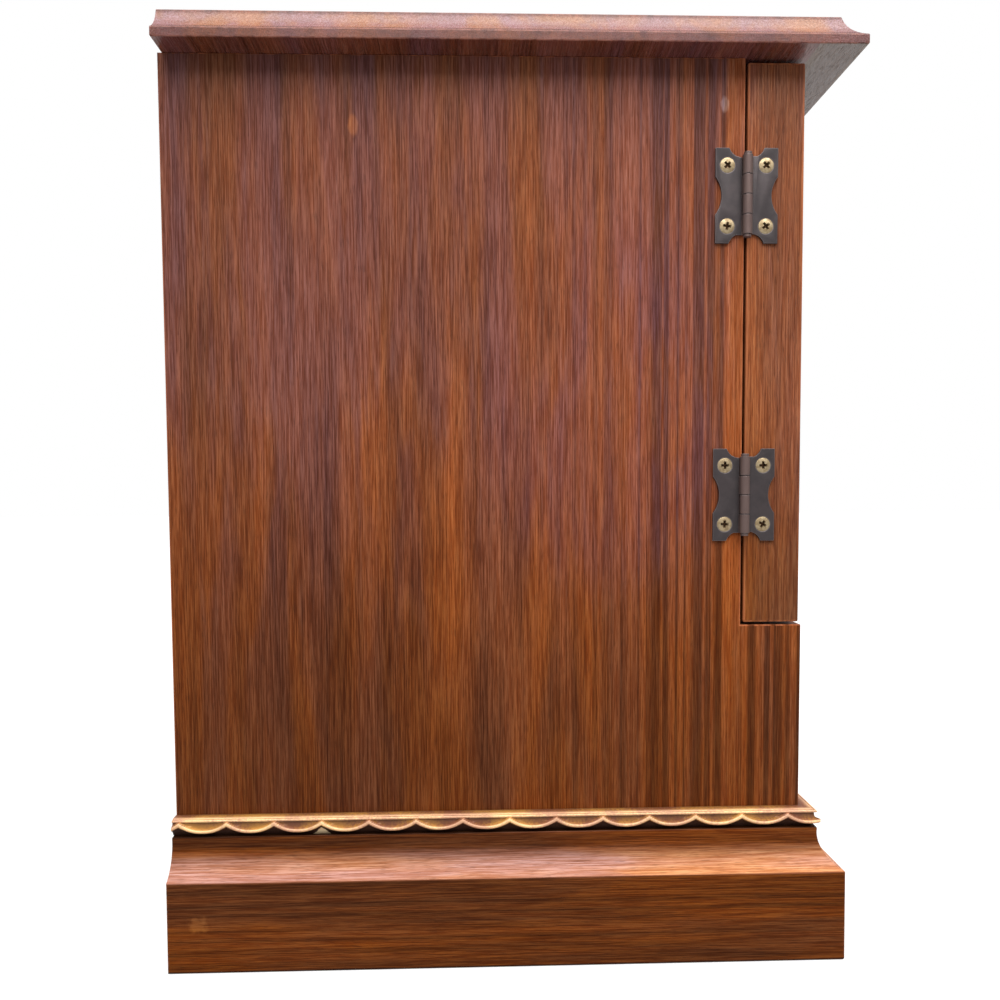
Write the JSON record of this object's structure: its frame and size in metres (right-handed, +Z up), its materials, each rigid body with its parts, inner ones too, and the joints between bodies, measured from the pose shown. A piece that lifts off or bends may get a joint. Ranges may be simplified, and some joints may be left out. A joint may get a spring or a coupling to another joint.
{
  "type": "tabletop cabinet with doors and a drawer",
  "caption": "Tabletop wooden cabinet with two hinged panelled doors over a drawer, cove-moulded top, moulded plinth and gilt scalloped trim.",
  "frame": {"origin": "middle of the box's underside, on the surface that the cabinet stands on", "axes": "+Z up, -Y towards the front with the doors, +X to the right of someone facing the front"},
  "size_m": [0.3312, 0.2612, 0.356],
  "materials": {
    "side_mahogany": "satin lacquer over a red-brown stain, vertical grain",
    "top_mahogany": "glossy lacquer over a dark red-brown stain",
    "plinth_mahogany": "satin lacquer over a red-brown stain, grain along the moulding",
    "door_mahogany": "satin lacquer over a red-brown stain",
    "panel_mahogany": "satin lacquer over a red-brown stain",
    "board_mahogany": "thin lacquer",
    "secondary_wood": "planed and waxed",
    "gilt": "gilt over a red ground, with dark antiquing in the hollows",
    "hinge_bronze": "dark bronze patina",
    "brass": "polished and slightly tarnished",
    "catch_bronze": "matt moulded",
    "plate_steel": "plated"
  },
  "bodies": {
    "case": {"side_left": "side_mahogany", "side_right": "side_mahogany", "back_panel": "secondary_wood", "bottom_board": "board_mahogany", "drawer_divider": "board_mahogany", "top_board": "top_mahogany", "plinth_front": "plinth_mahogany", "plinth_left": "plinth_mahogany", "plinth_right": "plinth_mahogany", "plinth_back": "secondary_wood", "plinth_blocks": "secondary_wood", "trim_front": "gilt", "trim_left": "gilt", "trim_right": "gilt", "top_dowels": "secondary_wood", "back_screws": "brass", "shelf_lower": "board_mahogany", "shelf_upper": "board_mahogany", "shelf_pins": "brass", "upper_left_case_leaf": "hinge_bronze", "lower_left_case_leaf": "hinge_bronze", "upper_right_case_leaf": "hinge_bronze", "lower_right_case_leaf": "hinge_bronze", "left_hinge_pins": "hinge_bronze", "right_hinge_pins": "hinge_bronze", "left_case_screws": "brass", "right_case_screws": "brass", "catch_left": "catch_bronze", "catch_right": "catch_bronze", "catch_screws": "brass", "drawer_stops": "secondary_wood"},
    "left_door": {"left_hinge_stile": "door_mahogany", "left_meeting_stile": "door_mahogany", "left_top_rail": "door_mahogany", "left_bottom_rail": "door_mahogany", "left_panel": "panel_mahogany", "left_knob": "brass", "left_knob_screw": "brass", "left_strike": "plate_steel", "upper_left_door_leaf": "hinge_bronze", "lower_left_door_leaf": "hinge_bronze", "left_door_screws": "brass"},
    "right_door": {"right_hinge_stile": "door_mahogany", "right_meeting_stile": "door_mahogany", "right_top_rail": "door_mahogany", "right_bottom_rail": "door_mahogany", "right_panel": "panel_mahogany", "right_knob": "brass", "right_knob_screw": "brass", "right_strike": "plate_steel", "upper_right_door_leaf": "hinge_bronze", "lower_right_door_leaf": "hinge_bronze", "right_door_screws": "brass"},
    "drawer": {"drawer_front": "door_mahogany", "drawer_side_left": "secondary_wood", "drawer_side_right": "secondary_wood", "drawer_back": "secondary_wood", "drawer_bottom": "secondary_wood", "drawer_knobs": "brass", "drawer_knob_screws": "brass"}
  },
  "joints": [
    {"name": "left_door_hinge", "type": "hinge", "parent": "case", "child": "left_door", "pos_m": [-0.1542, -0.0891, 0.2351], "axis": [0, 0, -1], "range_deg": [0, 170]},
    {"name": "right_door_hinge", "type": "hinge", "parent": "case", "child": "right_door", "pos_m": [0.1542, -0.0891, 0.2351], "axis": [0, 0, 1], "range_deg": [0, 170]},
    {"name": "drawer_slide", "type": "slide", "parent": "case", "child": "drawer", "axis": [0, -1, 0], "range_m": [0, 0.16]}
  ]
}
